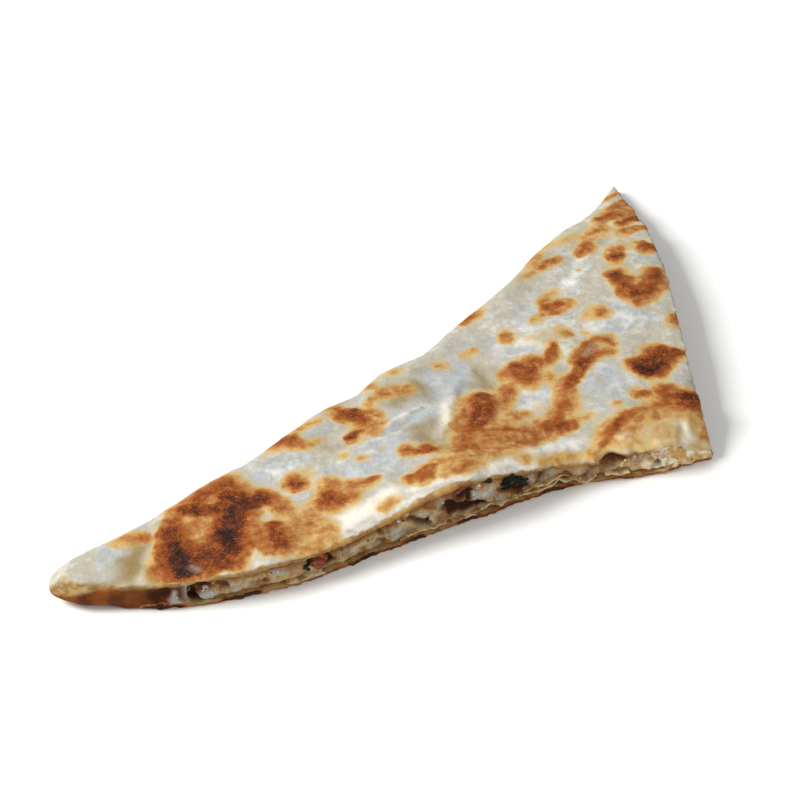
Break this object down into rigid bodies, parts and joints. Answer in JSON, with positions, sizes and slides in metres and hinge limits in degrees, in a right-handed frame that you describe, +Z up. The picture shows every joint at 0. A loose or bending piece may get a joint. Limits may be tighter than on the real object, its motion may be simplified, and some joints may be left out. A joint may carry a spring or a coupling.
{
  "type": "gozleme wedge",
  "caption": "Cut wedge of griddled flatbread, folded over a crumbly potato and cheese filling that shows along its cut sides.",
  "frame": {"origin": "bottom centre of the wedge's box, on the surface that the wedge lies on", "axes": "+X along the front cut from the folded tip to the square corner, +Y from the front cut towards the far corner, +Z up through the leaves"},
  "size_m": [0.1544, 0.1292, 0.0115],
  "materials": {
    "griddled_dough": "floury cream dough with toasted brown blisters",
    "filling": "moist crumbly potato",
    "curd": "damp white cheese",
    "herb": "cooked dark green leaf",
    "pepper": "dried red pepper flake"
  },
  "bodies": {
    "root": {"dough_fold": "griddled_dough", "filling": "filling"}
  },
  "joints": []
}
